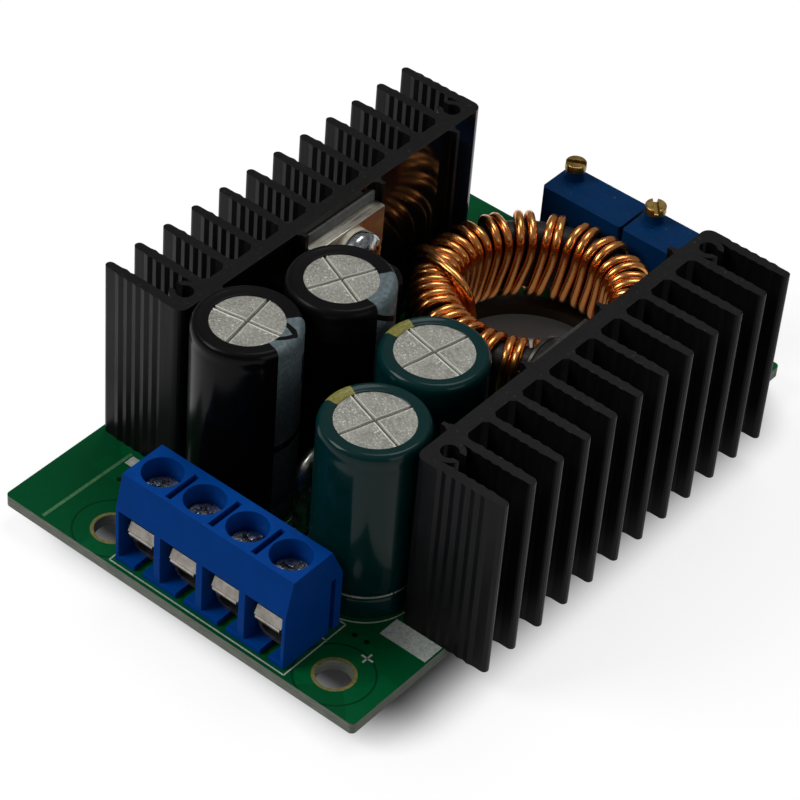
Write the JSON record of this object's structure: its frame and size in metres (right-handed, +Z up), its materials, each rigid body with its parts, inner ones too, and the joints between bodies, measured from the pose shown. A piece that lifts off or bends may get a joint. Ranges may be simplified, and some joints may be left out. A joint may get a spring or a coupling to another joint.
{
  "type": "buck converter module",
  "caption": "Step-down converter board with finned heatsinks at both sides, round capacitors, a wound ring inductor, trimmers and a screw terminal block.",
  "frame": {"origin": "centre of the rectangle of mounting holes, on the board's underside", "axes": "+X along the terminal edge, to the right when the terminals face the viewer; +Y along the board, away from the terminals; +Z up out of the board"},
  "size_m": [0.0463, 0.065, 0.0245],
  "materials": {
    "board_laminate": "green solder mask over glass laminate",
    "anodised_black": "black anodised, satin",
    "tinned_steel": "tinned, bright",
    "silicone_grey": "matt grey silicone",
    "tab_copper": "plated metal tab, satin",
    "moulding_black": "black moulding compound",
    "bush_nylon": "off-white nylon",
    "screw_zinc": "bright zinc plate",
    "can_aluminium": "bare aluminium, satin",
    "sleeve_black": "glossy shrunk sleeve",
    "sleeve_green": "glossy shrunk sleeve",
    "bung_rubber": "black rubber",
    "core_dark": "dark coated powder core",
    "winding_enamel": "enamelled copper, glossy",
    "block_blue": "blue moulded plastic",
    "clamp_plated": "plated, bright",
    "trimmer_blue": "blue moulded plastic",
    "adjuster_brass": "turned brass",
    "solder": "bright solder",
    "chip_ceramic": "fired ceramic with bright ends"
  },
  "bodies": {
    "board_assembly": {"circuit_board": "board_laminate", "left_heatsink": "anodised_black", "right_heatsink": "anodised_black", "heatsink_pins": "tinned_steel", "left_pad": "silicone_grey", "right_pad": "silicone_grey", "regulator_tab": "tab_copper", "regulator_body": "moulding_black", "regulator_leads": "tinned_steel", "regulator_bush": "bush_nylon", "regulator_screw": "screw_zinc", "rectifier_tab": "tab_copper", "rectifier_body": "moulding_black", "rectifier_leads": "tinned_steel", "rectifier_bush": "bush_nylon", "rectifier_screw": "screw_zinc", "input_can_front": "can_aluminium", "input_sleeve_front": "sleeve_black", "input_bung_front": "bung_rubber", "input_leads_front": "tinned_steel", "input_can_back": "can_aluminium", "input_sleeve_back": "sleeve_black", "input_bung_back": "bung_rubber", "input_leads_back": "tinned_steel", "output_can_front": "can_aluminium", "output_sleeve_front": "sleeve_green", "output_bung_front": "bung_rubber", "output_leads_front": "tinned_steel", "output_can_back": "can_aluminium", "output_sleeve_back": "sleeve_green", "output_bung_back": "bung_rubber", "output_leads_back": "tinned_steel", "inductor_core": "core_dark", "inductor_winding": "winding_enamel", "terminal_block": "block_blue", "clamp_cage_1": "clamp_plated", "clamp_cage_2": "clamp_plated", "clamp_cage_3": "clamp_plated", "clamp_cage_4": "clamp_plated", "trimmer_case_1": "trimmer_blue", "trimmer_pins_1": "tinned_steel", "trimmer_case_2": "trimmer_blue", "trimmer_pins_2": "tinned_steel", "current_shunt": "tinned_steel", "solder_joints": "solder", "amplifier_chip": "moulding_black", "reference_chip": "moulding_black", "chip_resistors": "moulding_black", "chip_capacitors": "chip_ceramic", "indicator_lamps": "chip_ceramic"},
    "wire_guard_1": {"wire_guard_1": "clamp_plated"},
    "wire_guard_2": {"wire_guard_2": "clamp_plated"},
    "wire_guard_3": {"wire_guard_3": "clamp_plated"},
    "wire_guard_4": {"wire_guard_4": "clamp_plated"},
    "clamp_screw_1": {"clamp_screw_1": "clamp_plated"},
    "clamp_screw_2": {"clamp_screw_2": "clamp_plated"},
    "clamp_screw_3": {"clamp_screw_3": "clamp_plated"},
    "clamp_screw_4": {"clamp_screw_4": "clamp_plated"},
    "trimmer_screw_1": {"trimmer_screw_1": "adjuster_brass"},
    "trimmer_screw_2": {"trimmer_screw_2": "adjuster_brass"}
  },
  "joints": [
    {"name": "trimmer_turn_1", "type": "hinge", "parent": "board_assembly", "child": "trimmer_screw_1", "pos_m": [-0.00725, 0.031, 0.0115], "axis": [0, 0, 1], "continuous": true},
    {"name": "trimmer_turn_2", "type": "hinge", "parent": "board_assembly", "child": "trimmer_screw_2", "pos_m": [0.00255, 0.031, 0.0115], "axis": [0, 0, 1], "continuous": true},
    {"name": "guard_slide_1", "type": "slide", "parent": "board_assembly", "child": "wire_guard_1", "axis": [0, 0, -1], "range_m": [-0.001, 0.001]},
    {"name": "clamp_turn_1", "type": "hinge", "parent": "wire_guard_1", "child": "clamp_screw_1", "pos_m": [-0.00785, -0.0283, 0.0092], "axis": [0, 0, -1], "range_deg": [-722, 722]},
    {"name": "guard_slide_2", "type": "slide", "parent": "board_assembly", "child": "wire_guard_2", "axis": [0, 0, -1], "range_m": [-0.001, 0.001]},
    {"name": "clamp_turn_2", "type": "hinge", "parent": "wire_guard_2", "child": "clamp_screw_2", "pos_m": [-0.00285, -0.0283, 0.0092], "axis": [0, 0, -1], "range_deg": [-722, 722]},
    {"name": "guard_slide_3", "type": "slide", "parent": "board_assembly", "child": "wire_guard_3", "axis": [0, 0, -1], "range_m": [-0.001, 0.001]},
    {"name": "clamp_turn_3", "type": "hinge", "parent": "wire_guard_3", "child": "clamp_screw_3", "pos_m": [0.00215, -0.0283, 0.0092], "axis": [0, 0, -1], "range_deg": [-722, 722]},
    {"name": "guard_slide_4", "type": "slide", "parent": "board_assembly", "child": "wire_guard_4", "axis": [0, 0, -1], "range_m": [-0.001, 0.001]},
    {"name": "clamp_turn_4", "type": "hinge", "parent": "wire_guard_4", "child": "clamp_screw_4", "pos_m": [0.00715, -0.0283, 0.0092], "axis": [0, 0, -1], "range_deg": [-722, 722]}
  ],
  "couplings": [
    {"joint": "clamp_turn_1", "follows": "guard_slide_1", "rad_per_m": 12566},
    {"joint": "clamp_turn_2", "follows": "guard_slide_2", "rad_per_m": 12566},
    {"joint": "clamp_turn_3", "follows": "guard_slide_3", "rad_per_m": 12566},
    {"joint": "clamp_turn_4", "follows": "guard_slide_4", "rad_per_m": 12566}
  ]
}
